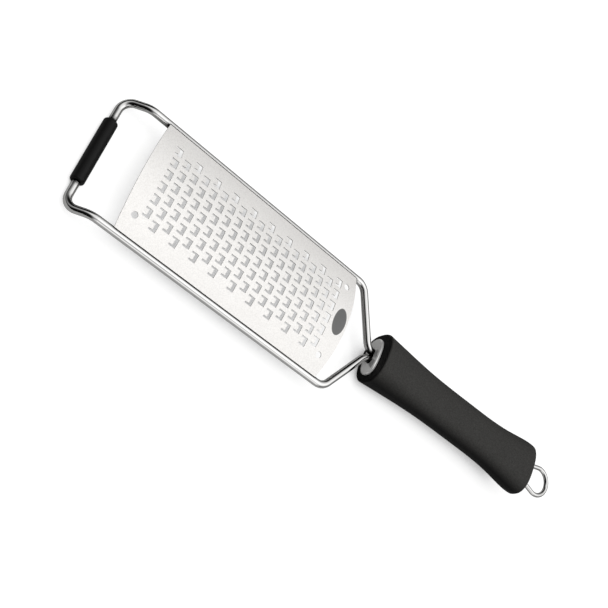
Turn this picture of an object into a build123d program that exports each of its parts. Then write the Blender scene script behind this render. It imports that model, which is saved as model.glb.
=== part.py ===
# Rasp zester: an arched grating blade welded between the side runs of one bent steel rod,
# with a rubber sleeve on its front foot and an oval grip moulded over its two tails.
# Millimetres. +X runs from the front foot to the hanging loop, +Z is up, teeth side.
# The origin lies under the middle of the whole tool, on the surface that it rests on.

from build123d import *
from math import asin, copysign, cos, degrees, pi, radians, sin, sqrt, tan
import os

os.makedirs("parts", exist_ok=True)

# Blade sheet
blade_length = 130.6
blade_width = 59.0
blade_crown = 4.6
blade_thickness = 0.5
blade_end_bulge = 2.8
index_hole_diameter = 3.3
index_hole_inset_x = 7.5
index_hole_inset_y = 9.4

# Teeth: each is a tongue left in a square window of the sheet and lifted at its rear edge
row_pitch = 7.03
column_pitch = 5.88
teeth_side_margin = 11.5
teeth_end_margin = 12.0
teeth_offset = -0.55
window_length = 3.9
window_width = 4.65
tongue_length = 1.95
tongue_width = 2.85
tongue_lift_angle = 7.0
tongue_bevel = 0.45
tongue_root = 0.4
stagger_share = 0.25

# Bent rod
rod_diameter = 4.0
rod_outset = 1.0
foot_angle = 40.0
foot_length = 13.75
foot_bend_radius = 8.0
foot_corner_radius = 6.0
front_bay = 7.9
rear_bay = 4.4
rear_turn_angle = 59.0
rear_corner_radius = 7.5
throat_radius = 7.0
tail_gap = 0.2
tail_length = 48.0

# Weld beads in the crevice between the blade's edges and the rod
welds_per_side = 5
weld_length = 6.0
weld_diameter = 1.8
weld_end_inset = 4.0

# Rubber sleeve on the front foot
sleeve_diameter = 7.0
sleeve_length = 35.0
sleeve_edge_radius = 1.0

# Handle
handle_length = 119.6
handle_rise_angle = 1.65
handle_lift = 0.94
mouth_setback = 4.97
mouth_width = 28.7
mouth_height = 23.5
mouth_side_lip = 3.75
mouth_top_lip = 5.65
waist_width = 23.85
waist_height = 16.6
heel_width = 30.3
heel_height = 17.9
mouth_edge_radius = 1.0
heel_edge_radius = 1.2
grip_wall = 2.6
heel_wall = 5.0
# The grip's sections are ovals with flattened sides: a power of 2 would make them ellipses
oval_power = 2.5
oval_steps = 24
# Along the grip: a share of its length, then the shares of mouth and heel flare in its section
grip_shares = [
    (0.0, 1.0, 0.0),
    (0.07, 0.745, 0.0),
    (0.17, 0.43, 0.0),
    (0.3, 0.106, 0.0),
    (0.48, 0.0, 0.0),
    (0.66, 0.0, 0.031),
    (0.8, 0.0, 0.317),
    (1.0, 0.0, 1.0),
]

# Ferrule: a steel cap that stands a little out of the mouth
ferrule_wall = 0.8
ferrule_depth = 6.0
ferrule_drop = 0.7
ferrule_stand_out = 1.7
ferrule_edge_radius = 0.9

# Hanging loop: its legs part from the heel outwards and are joined by a round end
loop_wire_diameter = 2.6
loop_width = 18.0
loop_reach = 22.3
loop_toe_angle = 15.0
loop_neck_radius = 6.0
loop_leg_spread = 9.8
loop_leg_grip = 18.0

# Fits
seat_gap = 0.02
fit_gap = 0.1
root_sink = 0.02
cut_overrun = 2.0

# Sizes of the pieces, worked out
rod_radius = rod_diameter / 2
sleeve_radius = sleeve_diameter / 2
wire_radius = loop_wire_diameter / 2
side_y = blade_width / 2 + rod_outset
tail_y = (rod_diameter + tail_gap) / 2
leg_y = loop_leg_spread / 2
ferrule_width = mouth_width - 2 * mouth_side_lip
ferrule_height = mouth_height - 2 * mouth_top_lip
tooth_rows = int((blade_width - 2 * teeth_side_margin) / row_pitch) + 1
tooth_columns = int((blade_length - 2 * teeth_end_margin) / column_pitch) + 1

foot_run = foot_length * cos(radians(foot_angle))
foot_drop = foot_length * sin(radians(foot_angle))
rear_run = (side_y - tail_y) / tan(radians(rear_turn_angle))
rise = radians(handle_rise_angle)
loop_apex = handle_length + loop_reach - wire_radius
overall_length = (
    sleeve_radius + foot_run + front_bay + blade_length + rear_bay
    + rear_run + mouth_setback + loop_apex * cos(rise) + wire_radius
)

# Places along the tool and above the table
foot_x = sleeve_radius - overall_length / 2
bend_x = foot_x + foot_run
blade_x = bend_x + front_bay + blade_length / 2
corner_x = blade_x + blade_length / 2 + rear_bay
throat_x = corner_x + rear_run
mouth_x = throat_x + mouth_setback
tail_end_x = mouth_x + tail_length
foot_z = sleeve_radius
rod_z = foot_z + foot_drop
mouth_z = rod_z + handle_lift

# The blade's top is part of a cylinder, and its lower edges sit on the rod's inner shoulders
half_width = blade_width / 2
arch_radius = (half_width**2 + blade_crown**2) / (2 * blade_crown)
under_radius = arch_radius - blade_thickness
edge_angle = asin(half_width / arch_radius)
seat_y = under_radius * sin(edge_angle)
seat_z = rod_z + sqrt((rod_radius + seat_gap) ** 2 - (side_y - seat_y) ** 2)
arch_z = seat_z - under_radius * cos(edge_angle)
crown_z = arch_z + arch_radius

# The handle's axis rises a little to the rear
axis_dir = (cos(rise), 0, sin(rise))
handle_plane = Plane(origin=(mouth_x, 0, mouth_z), x_dir=(0, 1, 0), z_dir=axis_dir)
loop_plane = Plane(origin=(mouth_x, 0, mouth_z), x_dir=axis_dir, z_dir=(-sin(rise), 0, cos(rise)))
handle_axis = Axis(origin=(mouth_x, 0, mouth_z), direction=axis_dir)
ferrule_plane = Plane(
    origin=(mouth_x + ferrule_drop * sin(rise), 0, mouth_z - ferrule_drop * cos(rise)),
    x_dir=(0, 1, 0),
    z_dir=axis_dir,
)
nose_plane = ferrule_plane.offset(ferrule_wall - ferrule_stand_out)


def flatten(part):
    """A sine or cosine, drawn towards one so that a circle's sides grow flatter."""
    return copysign(abs(part) ** (2 / oval_power), part)


def oval_points(half_width, half_height):
    """Points round the grip's oval."""
    turns = [2 * pi * step / oval_steps for step in range(oval_steps)]
    return [(half_width * flatten(cos(turn)), half_height * flatten(sin(turn))) for turn in turns]


def flare(place, sizes):
    """A width or height of the grip, from its sizes at mouth, waist and heel."""
    _, mouth_share, heel_share = place
    mouth, waist, heel = sizes
    return waist + mouth_share * (mouth - waist) + heel_share * (heel - waist)


def grip_form(inset):
    """The grip's outer form, drawn in all round by an inset."""
    with BuildPart() as form:
        for place in grip_shares:
            half_width = flare(place, (mouth_width, waist_width, heel_width)) / 2 - inset
            half_height = flare(place, (mouth_height, waist_height, heel_height)) / 2 - inset
            with BuildSketch(handle_plane.offset(place[0] * handle_length)):
                with BuildLine():
                    Spline(*oval_points(half_width, half_height), periodic=True)
                make_face()
        loft()
    return form.part


def ferrule_form(plane, inset, depth):
    """An oval plug as wide as the ferrule less an inset, from a plane towards the heel."""
    with BuildPart() as form:
        with BuildSketch(plane):
            with BuildLine():
                Spline(
                    *oval_points(ferrule_width / 2 - inset, ferrule_height / 2 - inset),
                    periodic=True,
                )
            make_face()
        extrude(amount=depth)
    return form.part


# Hanging loop's centre line: neck, straight leg and round end, worked out from the end's circle
toe = radians(loop_toe_angle)
ring_radius = loop_width / 2 - wire_radius
ring_x = loop_apex - ring_radius
leg_start = handle_length - loop_leg_grip
ring_join = (ring_x - ring_radius * sin(toe), ring_radius * cos(toe))
neck_rise = loop_neck_radius * (1 - cos(toe))
neck_x = ring_join[0] - loop_neck_radius * sin(toe) - (ring_join[1] - leg_y - neck_rise) / tan(toe)
neck_join = (neck_x + loop_neck_radius * sin(toe), leg_y + neck_rise)


def mirrored(point):
    """The same point on the loop's other leg."""
    return (point[0], -point[1])


def loop_form(radius):
    """Round rod of a radius along the loop's centre line."""
    with BuildPart() as form:
        with BuildLine(loop_plane) as path:
            Line((leg_start, leg_y), (neck_x, leg_y))
            RadiusArc((neck_x, leg_y), neck_join, -loop_neck_radius)
            Line(neck_join, ring_join)
            ThreePointArc(ring_join, (loop_apex, 0), mirrored(ring_join))
            Line(mirrored(ring_join), mirrored(neck_join))
            RadiusArc(mirrored(neck_join), (neck_x, -leg_y), -loop_neck_radius)
            Line((neck_x, -leg_y), (leg_start, -leg_y))
        with BuildSketch(handle_plane.offset(leg_start)):
            with Locations((leg_y, 0)):
                Circle(radius)
        sweep(path=path.line)
    return form.part


# Frame rod: tail, throat, rear corner, side and foot, and the same back again
rod_half = [
    (tail_end_x, tail_y, rod_z),
    (throat_x, tail_y, rod_z),
    (corner_x, side_y, rod_z),
    (bend_x, side_y, rod_z),
    (foot_x, side_y, foot_z),
]
rod_points = rod_half + [(x, -y, z) for x, y, z in reversed(rod_half)]
half_radii = [throat_radius, rear_corner_radius, foot_bend_radius, foot_corner_radius]

with BuildPart() as frame_rod:
    with BuildLine() as rod_line:
        FilletPolyline(*rod_points, radius=half_radii + half_radii[::-1])
    with BuildSketch(Plane(origin=rod_points[0], z_dir=(-1, 0, 0))):
        Circle(rod_radius)
    sweep(path=rod_line.line)
frame_rod.part.label = "frame_rod"
export_step(frame_rod.part, "parts/frame_rod.step")


# Blade blank: an arched strip with a bulging front and rear edge
arch_plane = Plane(
    origin=(blade_x - blade_length / 2, 0, arch_z), x_dir=(0, 1, 0), z_dir=(1, 0, 0)
)
edge_degrees = degrees(edge_angle)
end_x = blade_length / 2
corner_in_x = end_x - blade_end_bulge
plan_y = half_width + cut_overrun

with BuildPart() as blade_blank:
    with BuildSketch(arch_plane):
        with BuildLine():
            top = CenterArc((0, 0), arch_radius, 90 - edge_degrees, 2 * edge_degrees)
            under = CenterArc((0, 0), under_radius, 90 - edge_degrees, 2 * edge_degrees)
            Line(top @ 0, under @ 0)
            Line(top @ 1, under @ 1)
        make_face()
    extrude(amount=blade_length)
    with BuildSketch(Plane(origin=(blade_x, 0, arch_z))):
        with BuildLine():
            Polyline(
                (-corner_in_x, half_width),
                (-corner_in_x, plan_y),
                (corner_in_x, plan_y),
                (corner_in_x, half_width),
            )
            ThreePointArc((corner_in_x, half_width), (end_x, 0), (corner_in_x, -half_width))
            Polyline(
                (corner_in_x, -half_width),
                (corner_in_x, -plan_y),
                (-corner_in_x, -plan_y),
                (-corner_in_x, -half_width),
            )
            ThreePointArc((-corner_in_x, -half_width), (-end_x, 0), (-corner_in_x, half_width))
        make_face()
    extrude(amount=arch_radius + cut_overrun, mode=Mode.INTERSECT)


# Blade: windows first, then one lifted tongue in each, then the index holes
lift = radians(tongue_lift_angle)
window_front = -window_length / 2
tip_x = window_front + tongue_length * cos(lift)
tip_z = tongue_length * sin(lift) - root_sink
bevel_x = window_front + (tongue_length - tongue_bevel) * cos(lift) + blade_thickness * sin(lift)
bevel_z = (tongue_length - tongue_bevel) * sin(lift) - blade_thickness * cos(lift)
tongue_outline = [
    (window_front - tongue_root, -root_sink),
    (window_front, -root_sink),
    (tip_x, tip_z),
    (bevel_x, bevel_z),
    (window_front + blade_thickness * tan(lift / 2), root_sink - blade_thickness),
    (window_front - tongue_root, root_sink - blade_thickness),
]

with BuildPart() as blade:
    add(blade_blank.part)
    for row in range(tooth_rows):
        for side in (-1, 1):
            arc = (row - (tooth_rows - 1) / 2 + side * stagger_share) * row_pitch
            angle = arc / arch_radius
            first = 0 if side > 0 else 1
            columns = [
                (column - (tooth_columns - 1) / 2) * column_pitch
                for column in range(first, tooth_columns, 2)
            ]
            face_point = (
                blade_x + teeth_offset,
                arch_radius * sin(angle),
                arch_z + arch_radius * cos(angle),
            )
            window_plane = Plane(
                origin=face_point, x_dir=(1, 0, 0), z_dir=(0, sin(angle), cos(angle))
            )
            tongue_plane = Plane(
                origin=face_point, x_dir=(1, 0, 0), z_dir=(0, -cos(angle), sin(angle))
            )
            with BuildSketch(window_plane):
                with Locations(*[(x, 0) for x in columns]):
                    Rectangle(window_length, window_width)
            extrude(amount=2 * blade_thickness, both=True, mode=Mode.SUBTRACT)
            with BuildSketch(tongue_plane):
                with Locations(*[(x, 0) for x in columns]):
                    Polygon(*tongue_outline, align=None)
            extrude(amount=tongue_width / 2, both=True)
    hole_x = end_x - index_hole_inset_x
    hole_y = half_width - index_hole_inset_y
    with BuildSketch(Plane(origin=(blade_x, 0, rod_z))):
        with Locations((-hole_x, -hole_y), (hole_x, -hole_y), (hole_x, hole_y)):
            Circle(index_hole_diameter / 2)
    extrude(amount=arch_radius, mode=Mode.SUBTRACT)
blade.part.label = "blade"
export_step(blade.part, "parts/blade.step")


# Weld beads: each fills the crevice under the blade's edge, against the rod
bead_step = (2 * corner_in_x - 2 * weld_end_inset - weld_length) / (welds_per_side - 1)
bead_reach = weld_diameter / 2 / sqrt(2)

with BuildPart() as blade_welds:
    for side in (-1, 1):
        bead_plane = Plane(
            origin=(
                blade_x - corner_in_x + weld_end_inset,
                side * (seat_y - bead_reach),
                seat_z - bead_reach,
            ),
            x_dir=(0, 1, 0),
            z_dir=(1, 0, 0),
        )
        for bead in range(welds_per_side):
            with BuildSketch(bead_plane.offset(bead * bead_step)):
                Circle(weld_diameter / 2)
            extrude(amount=weld_length)
    add(frame_rod.part, mode=Mode.SUBTRACT)
    add(blade_blank.part, mode=Mode.SUBTRACT)
blade_welds.part.label = "blade_welds"
export_step(blade_welds.part, "parts/blade_welds.step")


# Rubber sleeve on the cross run of the foot
sleeve_plane = Plane(origin=(foot_x, 0, foot_z), z_dir=(0, 1, 0))

with BuildPart() as front_sleeve:
    with BuildSketch(sleeve_plane):
        Circle(sleeve_radius)
    extrude(amount=sleeve_length / 2, both=True)
    fillet(front_sleeve.edges().filter_by(GeomType.CIRCLE), sleeve_edge_radius)
    with BuildSketch(sleeve_plane):
        Circle(rod_radius + seat_gap)
    extrude(amount=sleeve_length, both=True, mode=Mode.SUBTRACT)
front_sleeve.part.label = "front_sleeve"
export_step(front_sleeve.part, "parts/front_sleeve.step")


# Slot for the two tails, level like the rod, from before the ferrule to the tails' end
slot_start = ferrule_stand_out + cut_overrun

with BuildPart() as tail_slot:
    slot_origin = (mouth_x - slot_start, 0, rod_z)
    with BuildSketch(Plane(origin=slot_origin, x_dir=(0, 1, 0), z_dir=(1, 0, 0))):
        SlotCenterToCenter(2 * tail_y, rod_diameter + 2 * fit_gap)
    extrude(amount=slot_start + tail_length + fit_gap)

# Handle core: the hard moulding that holds the tails and the loop, with a nose in the ferrule
with BuildPart() as core_blank:
    add(grip_form(grip_wall))
    split(bisect_by=handle_plane.offset(ferrule_depth), keep=Keep.TOP)
    split(bisect_by=handle_plane.offset(handle_length - heel_wall), keep=Keep.BOTTOM)

with BuildPart() as handle_core:
    add(core_blank.part)
    add(ferrule_form(nose_plane, ferrule_wall, ferrule_stand_out + ferrule_depth))
    add(tail_slot.part, mode=Mode.SUBTRACT)
    add(loop_form(wire_radius + seat_gap), mode=Mode.SUBTRACT)
handle_core.part.label = "handle_core"
export_step(handle_core.part, "parts/handle_core.step")


# Handle grip: the soft outer shell, with an oval seat for the ferrule
with BuildPart() as handle_grip:
    add(grip_form(0))
    ends = handle_grip.faces().filter_by(GeomType.PLANE).sort_by(handle_axis)
    fillet(ends[0].edges(), mouth_edge_radius)
    ends = handle_grip.faces().filter_by(GeomType.PLANE).sort_by(handle_axis)
    fillet(ends[-1].edges(), heel_edge_radius)
    add(core_blank.part, mode=Mode.SUBTRACT)
    seat_start = ferrule_plane.offset(-cut_overrun)
    add(ferrule_form(seat_start, 0, cut_overrun + ferrule_depth), mode=Mode.SUBTRACT)
    add(loop_form(wire_radius + seat_gap), mode=Mode.SUBTRACT)
handle_grip.part.label = "handle_grip"
export_step(handle_grip.part, "parts/handle_grip.step")


# Mouth ferrule: an oval steel cap over the core's nose that lets the tails through its face
with BuildPart() as mouth_ferrule:
    cap_length = ferrule_stand_out + ferrule_depth
    add(ferrule_form(ferrule_plane.offset(-ferrule_stand_out), 0, cap_length))
    front = mouth_ferrule.faces().filter_by(GeomType.PLANE).sort_by(handle_axis)[0]
    fillet(front.edges(), ferrule_edge_radius)
    add(ferrule_form(nose_plane, ferrule_wall, cap_length), mode=Mode.SUBTRACT)
    add(tail_slot.part, mode=Mode.SUBTRACT)
mouth_ferrule.part.label = "mouth_ferrule"
export_step(mouth_ferrule.part, "parts/mouth_ferrule.step")


# Hanging loop: one piece of wire
with BuildPart() as hanging_loop:
    add(loop_form(wire_radius))
hanging_loop.part.label = "hanging_loop"
export_step(hanging_loop.part, "parts/hanging_loop.step")
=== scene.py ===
import bpy
import math
from mathutils import Euler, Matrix

# Rasp zester: looks, light and camera round the fixed model. Metres.
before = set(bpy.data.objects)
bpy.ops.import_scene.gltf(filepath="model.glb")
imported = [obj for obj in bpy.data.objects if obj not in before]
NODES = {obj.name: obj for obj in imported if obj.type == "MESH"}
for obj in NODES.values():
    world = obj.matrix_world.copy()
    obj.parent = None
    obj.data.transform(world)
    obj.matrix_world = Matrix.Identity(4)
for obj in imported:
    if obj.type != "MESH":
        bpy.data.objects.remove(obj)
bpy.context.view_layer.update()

# Camera, solved from the tooth grid: place, turn and lens
CAMERA_PLACE = (-0.27411, -0.23457, 0.42427)
CAMERA_TURN = (10.5255, -38.1185, 27.2279)
FOCAL_PIXELS = 1087.21
PICTURE_PIXELS = 608
HALF_PIXEL = 0.5
SENSOR_MM = 36.0

# Plain etched oval on the blade: its place is ahead of the blade's rear end, off the middle line
OVAL_INSET = 0.00505
OVAL_SIDE = 0.00054
OVAL_HALF = (0.00387, 0.00745)

# Painted shade: polished steel's colour is darkened where another surface is nearer than this
PAINTED_CREVICE_SHADE_REACH = 0.0028
FINE_PAINTED_SHADE_REACH = 0.0003

# Rays that measure how open a surface is, for the painted shade in crevices and the painted shadow
# on the covered floor
OPENNESS_SAMPLES = 16

# Colours are linear shares of red, green and blue; a noise blends those that come in pairs
BLADE_COLOURS = ((0.945, 0.925, 0.9), (0.985, 0.97, 0.95))
ETCHED_COLOURS = ((0.15, 0.15, 0.148), (0.2, 0.2, 0.198))
WELD_COLOURS = ((0.46, 0.45, 0.44), (0.66, 0.65, 0.64))
# Grip, painted light: a lighter pair of colours for faces turned up and a near-black one for the
# sides
TOP_LIT_GRIP_COLOURS = ((0.026, 0.0255, 0.024), (0.045, 0.044, 0.042))
SIDE_SHADED_GRIP_COLOUR = (0.001, 0.001, 0.001)
SLEEVE_COLOURS = ((0.0015, 0.0015, 0.0015), (0.004, 0.004, 0.004))
CORE_COLOURS = ((0.02, 0.02, 0.02), (0.035, 0.035, 0.035))
ROD_COLOUR = (0.84, 0.835, 0.825)
FERRULE_COLOUR = (0.95, 0.945, 0.935)
LOOP_COLOUR = (0.74, 0.735, 0.725)
CLOUDED_SHARE = 0.95
BLACK = (0.0, 0.0, 0.0)
WHITE = (1.0, 1.0, 1.0)

# Floor: it mirrors greyer than it is seen, and its glow is cut where the object covers it, a
# painted shadow on top of the real one
FLOOR_SIZE = 8.0
FLOOR_MIRRORED = (0.33, 0.33, 0.328)
FLOOR_SEEN = (0.36, 0.36, 0.358)
FLOOR_GLOW = 0.75
FLOOR_GLOW_IN_PAINTED_SHADOW = 0.25
FLOOR_PAINTED_SHADOW_REACH = 0.05
FLOOR_PAINTED_SHADOW_FULL_AT = 0.24
FLOOR_PAINTED_SHADOW_GONE_AT = 0.46

# Studio surround: soft zones by compass bearing and height in degrees, from +X towards +Y.
# Each zone has its centre, the angles where it starts to fade and ends, and its level.
SKY_LOW = 0.05
SKY_HIGH = 0.95
SKY_HIGH_AT = 70.0
OVERHEAD_SOFTBOX = ((0.0, 56.0), (8.0, 38.0), 0.42)
SIDE_SOFTBOX = ((-68.0, 18.0), (8.0, 28.0), 0.64)
CAMERA_SIDE = ((-134.0, 24.0), (24.0, 57.0), 0.99)
FAR_CORNER = ((118.0, 18.0), (16.0, 48.0), 0.98)
NEAR_UPPER_WALL = ((-72.0, 52.0), (4.0, 22.0), 0.45)
BRIGHT_ZONES = (OVERHEAD_SOFTBOX, SIDE_SOFTBOX)
DARK_ZONES = (CAMERA_SIDE, FAR_CORNER, NEAR_UPPER_WALL)

# Key lamp: square, soft and aimed at the origin, in metres and watts
KEY_PLACE = (-0.25, -0.08, 0.88)
KEY_SIDE = 0.8
KEY_POWER = 5.3


class Shader:
    """A node material and short ways to add to it."""

    def __init__(self, name):
        self.mat = bpy.data.materials.new(name)
        self.mat.use_nodes = True
        self.tree = self.mat.node_tree
        self.bsdf = self.tree.nodes["Principled BSDF"]
        self.where = self.add("ShaderNodeTexCoord").outputs["Object"]

    def add(self, kind, **settings):
        node = self.tree.nodes.new(kind)
        for key, value in settings.items():
            setattr(node, key, value)
        return node

    def link(self, source, target):
        self.tree.links.new(source, target)

    def math(self, operation, first, second):
        node = self.add("ShaderNodeMath", operation=operation)
        for socket, value in zip(node.inputs, (first, second)):
            if isinstance(value, float):
                socket.default_value = value
            else:
                self.link(value, socket)
        return node.outputs[0]

    def stretched(self, scale):
        """Place in the object, stretched along each axis, for grain that runs one way."""
        node = self.add("ShaderNodeMapping")
        self.link(self.where, node.inputs["Vector"])
        node.inputs["Scale"].default_value = scale
        return node.outputs[0]

    def noise(self, vector, scale, detail=3.0, roughness=0.55):
        node = self.add("ShaderNodeTexNoise")
        self.link(vector, node.inputs["Vector"])
        node.inputs["Scale"].default_value = scale
        node.inputs["Detail"].default_value = detail
        node.inputs["Roughness"].default_value = roughness
        return node.outputs["Fac"]

    def span(self, value, low, high, from_low=0.0, from_high=1.0):
        node = self.add("ShaderNodeMapRange")
        self.link(value, node.inputs["Value"])
        node.inputs["From Min"].default_value = from_low
        node.inputs["From Max"].default_value = from_high
        node.inputs["To Min"].default_value = low
        node.inputs["To Max"].default_value = high
        return node.outputs["Result"]

    def blend_colours(self, factor, first, second):
        node = self.add("ShaderNodeMix", data_type="RGBA")
        self.link(factor, node.inputs["Factor"])
        for socket, value in ((node.inputs["A"], first), (node.inputs["B"], second)):
            if isinstance(value, tuple):
                socket.default_value = value + (1.0,)
            else:
                self.link(value, socket)
        return node.outputs["Result"]

    def openness(self, reach, low, high, from_low, from_high):
        """From low to high as the surface's openness within a reach runs over a range."""
        node = self.add("ShaderNodeAmbientOcclusion", samples=OPENNESS_SAMPLES)
        node.inputs["Distance"].default_value = reach
        return self.span(node.outputs["AO"], low, high, from_low, from_high)

    def facing_up(self, low, high):
        """Share that rises from 0 to 1 as the surface turns from the side to face up."""
        split = self.add("ShaderNodeSeparateXYZ")
        self.link(self.add("ShaderNodeNewGeometry").outputs["Normal"], split.inputs[0])
        return self.span(split.outputs["Z"], 0.0, 1.0, low, high)

    def shaded(self, colour, share):
        """A colour that grows darker as a share falls to zero."""
        return self.blend_colours(share, BLACK, colour)

    def bump(self, height, distance, strength):
        node = self.add("ShaderNodeBump")
        self.link(height, node.inputs["Height"])
        node.inputs["Distance"].default_value = distance
        node.inputs["Strength"].default_value = strength
        self.link(node.outputs["Normal"], self.bsdf.inputs["Normal"])


def blade_steel():
    """Satin sheet: fine grain along the blade, cloudy rolling marks, and the etched oval."""
    s = Shader("blade_steel")
    grain = s.noise(s.stretched((0.06, 1.0, 1.0)), scale=9000.0, detail=2.0)
    cloud = s.noise(s.where, scale=90.0, detail=3.0)
    speckle = s.noise(s.where, scale=1500.0, detail=2.0, roughness=0.7)
    clouded = s.blend_colours(cloud, *BLADE_COLOURS)
    steel = s.shaded(clouded, s.span(speckle, low=0.9, high=1.0, from_low=0.35, from_high=0.6))
    place = s.add("ShaderNodeSeparateXYZ")
    s.link(s.where, place.inputs[0])
    rear_x = max(corner[0] for corner in NODES["blade"].bound_box)
    along = s.math("SUBTRACT", place.outputs["X"], rear_x - OVAL_INSET)
    across = s.math("SUBTRACT", place.outputs["Y"], OVAL_SIDE)
    dx = s.math("DIVIDE", along, OVAL_HALF[0])
    dy = s.math("DIVIDE", across, OVAL_HALF[1])
    radius_squared = s.math("ADD", s.math("MULTIPLY", dx, dx), s.math("MULTIPLY", dy, dy))
    inside = s.span(radius_squared, low=1.0, high=0.0, from_low=0.96, from_high=1.04)
    oval = s.math("MULTIPLY", inside, s.facing_up(0.5, 0.8))
    etched = s.blend_colours(cloud, *ETCHED_COLOURS)
    s.link(s.blend_colours(oval, steel, etched), s.bsdf.inputs["Base Color"])
    s.bsdf.inputs["Metallic"].default_value = 0.5
    satin = s.span(grain, low=0.5, high=0.6, from_low=0.3, from_high=0.7)
    matte_oval = s.math("MULTIPLY", oval, 0.6)
    s.link(s.math("MAXIMUM", satin, matte_oval), s.bsdf.inputs["Roughness"])
    s.bump(speckle, distance=0.00002, strength=0.35)
    return s.mat


def polished_steel(name, colour, roughness, metallic=1.0, reach=PAINTED_CREVICE_SHADE_REACH):
    """Bright steel: cloudy polish between two roughnesses, with painted shade darkening its colour
    in crevices.
    """
    s = Shader(name)
    polish = s.noise(s.where, scale=260.0, detail=4.0)
    clouded = s.blend_colours(polish, tuple(c * CLOUDED_SHARE for c in colour), colour)
    # Painted shade: the colour darkens where nearby surfaces close this one in
    painted_shade_factor = s.openness(reach, low=0.01, high=1.0, from_low=0.87, from_high=1.0)
    s.link(s.shaded(clouded, painted_shade_factor), s.bsdf.inputs["Base Color"])
    s.bsdf.inputs["Metallic"].default_value = metallic
    s.link(s.span(polish, *roughness, from_low=0.3, from_high=0.7), s.bsdf.inputs["Roughness"])
    s.bump(s.noise(s.where, scale=900.0, detail=2.0), distance=0.00002, strength=0.12)
    return s.mat


def weld_steel():
    """Cleaned weld beads: duller than the rod, with a ripple."""
    s = Shader("weld_steel")
    ripple = s.noise(s.stretched((1.0, 0.4, 0.4)), scale=1800.0, detail=3.0)
    dullness = s.span(ripple, low=0.28, high=0.5, from_low=0.3, from_high=0.7)
    s.link(s.blend_colours(ripple, *WELD_COLOURS), s.bsdf.inputs["Base Color"])
    s.bsdf.inputs["Metallic"].default_value = 1.0
    s.link(dullness, s.bsdf.inputs["Roughness"])
    s.bump(ripple, distance=0.0001, strength=0.5)
    return s.mat


def soft_grip():
    """Black soft-touch grip: fine moulded grain, with painted light: greyer on top and near black
    on the sides.
    """
    s = Shader("soft_grip")
    grain = s.noise(s.where, scale=1500.0, detail=3.0, roughness=0.7)
    grain_share = s.span(grain, low=0.0, high=1.0, from_low=0.35, from_high=0.65)
    painted_top_light = s.blend_colours(grain_share, *TOP_LIT_GRIP_COLOURS)
    wear = s.noise(s.where, scale=60.0, detail=3.0)
    dullness = s.span(wear, low=0.45, high=0.55, from_low=0.3, from_high=0.7)
    # Painted light: the grip is lighter where it faces up and darker on its sides
    colour = s.blend_colours(s.facing_up(0.15, 0.95), SIDE_SHADED_GRIP_COLOUR, painted_top_light)
    s.link(colour, s.bsdf.inputs["Base Color"])
    s.link(dullness, s.bsdf.inputs["Roughness"])
    s.bsdf.inputs["Specular IOR Level"].default_value = 0.1
    s.bump(grain, distance=0.00015, strength=0.6)
    return s.mat


def sleeve_rubber():
    """Near-black satin rubber tube with faint extrusion lines along it."""
    s = Shader("sleeve_rubber")
    lines = s.noise(s.stretched((1.0, 0.05, 1.0)), scale=2400.0, detail=3.0)
    dullness = s.span(lines, low=0.4, high=0.55, from_low=0.3, from_high=0.7)
    s.link(s.blend_colours(lines, *SLEEVE_COLOURS), s.bsdf.inputs["Base Color"])
    s.link(dullness, s.bsdf.inputs["Roughness"])
    s.bsdf.inputs["Specular IOR Level"].default_value = 0.25
    s.bump(lines, distance=0.0001, strength=0.35)
    return s.mat


def core_plastic():
    """Hard black moulding inside the grip."""
    s = Shader("core_plastic")
    flow = s.noise(s.stretched((0.3, 1.0, 1.0)), scale=300.0, detail=3.0)
    dullness = s.span(flow, low=0.35, high=0.5, from_low=0.3, from_high=0.7)
    s.link(s.blend_colours(flow, *CORE_COLOURS), s.bsdf.inputs["Base Color"])
    s.link(dullness, s.bsdf.inputs["Roughness"])
    s.bump(flow, distance=0.00005, strength=0.2)
    return s.mat


def give(node, material):
    """The node takes this material in its one slot."""
    mesh = NODES[node].data
    mesh.materials.clear()
    mesh.materials.append(material)


def floor_material():
    """White floor for the camera, greyer in reflections; its glow is cut where it is covered, a
    painted shadow.
    """
    s = Shader("floor_white")
    seen = s.add("ShaderNodeLightPath").outputs["Is Camera Ray"]
    s.link(s.blend_colours(seen, FLOOR_MIRRORED, FLOOR_SEEN), s.bsdf.inputs["Base Color"])
    s.bsdf.inputs["Roughness"].default_value = 0.9
    s.bsdf.inputs["Specular IOR Level"].default_value = 0.0
    s.bsdf.inputs["Emission Color"].default_value = WHITE + (1.0,)
    # Painted shadow: less glow where the object covers the floor
    glow_with_painted_shadow = s.openness(
        FLOOR_PAINTED_SHADOW_REACH, FLOOR_GLOW_IN_PAINTED_SHADOW, FLOOR_GLOW, FLOOR_PAINTED_SHADOW_FULL_AT, FLOOR_PAINTED_SHADOW_GONE_AT
    )
    s.link(s.math("MULTIPLY", seen, glow_with_painted_shadow), s.bsdf.inputs["Emission Strength"])
    return s.mat


def make_floor():
    bpy.ops.mesh.primitive_plane_add(size=FLOOR_SIZE)
    floor = bpy.context.object
    floor.name = "floor"
    floor.data.materials.append(floor_material())


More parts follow.
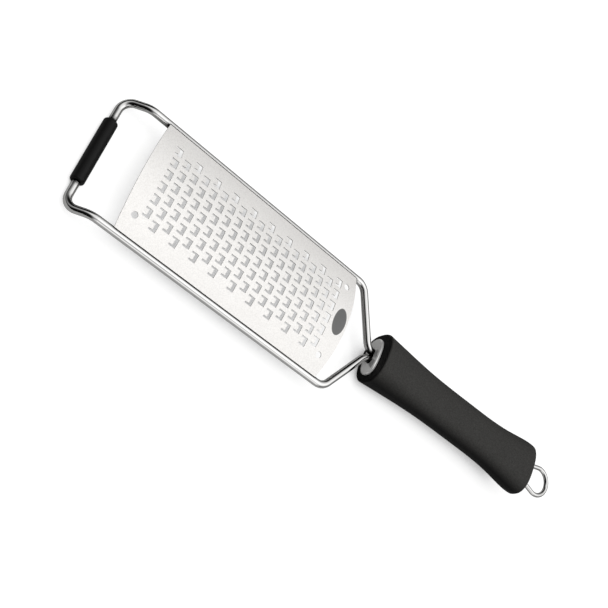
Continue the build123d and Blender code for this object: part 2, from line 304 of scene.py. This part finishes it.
def make_world():
    """Dim walls, two softboxes and three darker parts in reflections, and white to the camera."""
    world = bpy.data.worlds.new("studio")
    bpy.context.scene.world = world
    world.use_nodes = True
    tree = world.node_tree
    where = tree.nodes.new("ShaderNodeTexCoord").outputs["Generated"]

    def join(operation, first, second):
        node = tree.nodes.new("ShaderNodeMath")
        node.operation = operation
        for socket, value in zip(node.inputs, (first, second)):
            if isinstance(value, float):
                socket.default_value = value
            else:
                tree.links.new(value, socket)
        return node.outputs[0]

    def ranged(value, low, high, to_low, to_high):
        node = tree.nodes.new("ShaderNodeMapRange")
        node.interpolation_type = "SMOOTHSTEP"
        tree.links.new(value, node.inputs["Value"])
        names = ("From Min", "From Max", "To Min", "To Max")
        for name, number in zip(names, (low, high, to_low, to_high)):
            node.inputs[name].default_value = number
        return node.outputs["Result"]

    def zone(bearing, height, fade, end, to_out, to_in):
        turn, lift = math.radians(bearing), math.radians(height)
        node = tree.nodes.new("ShaderNodeVectorMath")
        node.operation = "DOT_PRODUCT"
        tree.links.new(where, node.inputs[0])
        node.inputs[1].default_value = (
            math.cos(lift) * math.cos(turn), math.cos(lift) * math.sin(turn), math.sin(lift)
        )
        low, high = math.cos(math.radians(end)), math.cos(math.radians(fade))
        return ranged(node.outputs["Value"], low, high, to_out, to_in)

    split = tree.nodes.new("ShaderNodeSeparateXYZ")
    tree.links.new(where, split.inputs[0])
    level = ranged(split.outputs["Z"], 0.0, math.sin(math.radians(SKY_HIGH_AT)), SKY_LOW, SKY_HIGH)
    for centre, angles, gain in BRIGHT_ZONES:
        level = join("ADD", level, zone(*centre, *angles, 0.0, gain))
    for centre, angles, loss in DARK_ZONES:
        level = join("MULTIPLY", level, zone(*centre, *angles, 1.0, 1.0 - loss))
    seen = tree.nodes.new("ShaderNodeLightPath").outputs["Is Camera Ray"]
    tree.links.new(join("MAXIMUM", level, seen), tree.nodes["Background"].inputs["Strength"])
    tree.nodes["Background"].inputs["Color"].default_value = WHITE + (1.0,)


def make_key_lamp():
    lamp = bpy.data.lights.new("key", "AREA")
    lamp.shape = "SQUARE"
    lamp.size = KEY_SIDE
    lamp.energy = KEY_POWER
    body = bpy.data.objects.new("key", lamp)
    bpy.context.collection.objects.link(body)
    body.location = KEY_PLACE
    x, y, z = KEY_PLACE
    body.rotation_euler = (math.atan2(math.hypot(x, y), z), 0.0, math.atan2(x, -y))
    body.visible_glossy = False


def make_camera():
    camera = bpy.data.cameras.new("camera")
    camera.sensor_width = SENSOR_MM
    camera.lens = FOCAL_PIXELS * SENSOR_MM / PICTURE_PIXELS
    # Pixel places were solved from their centres, so the shift takes up half a pixel each way
    camera.shift_x = -HALF_PIXEL / PICTURE_PIXELS
    camera.shift_y = HALF_PIXEL / PICTURE_PIXELS
    body = bpy.data.objects.new("camera", camera)
    bpy.context.collection.objects.link(body)
    body.location = CAMERA_PLACE
    body.rotation_euler = Euler([math.radians(a) for a in CAMERA_TURN], "XYZ")
    bpy.context.scene.camera = body


give("blade", blade_steel())
give("frame_rod", polished_steel("rod_steel", ROD_COLOUR, (0.02, 0.05)))
give("blade_welds", weld_steel())
give("front_sleeve", sleeve_rubber())
give("handle_grip", soft_grip())
give("handle_core", core_plastic())
give("mouth_ferrule", polished_steel("ferrule_steel", FERRULE_COLOUR, (0.1, 0.18), 0.6, FINE_PAINTED_SHADE_REACH))
give("hanging_loop", polished_steel("loop_steel", LOOP_COLOUR, (0.08, 0.14), 1.0, FINE_PAINTED_SHADE_REACH))
make_floor()
make_world()
make_key_lamp()
make_camera()
bpy.context.scene.view_settings.view_transform = "Standard"
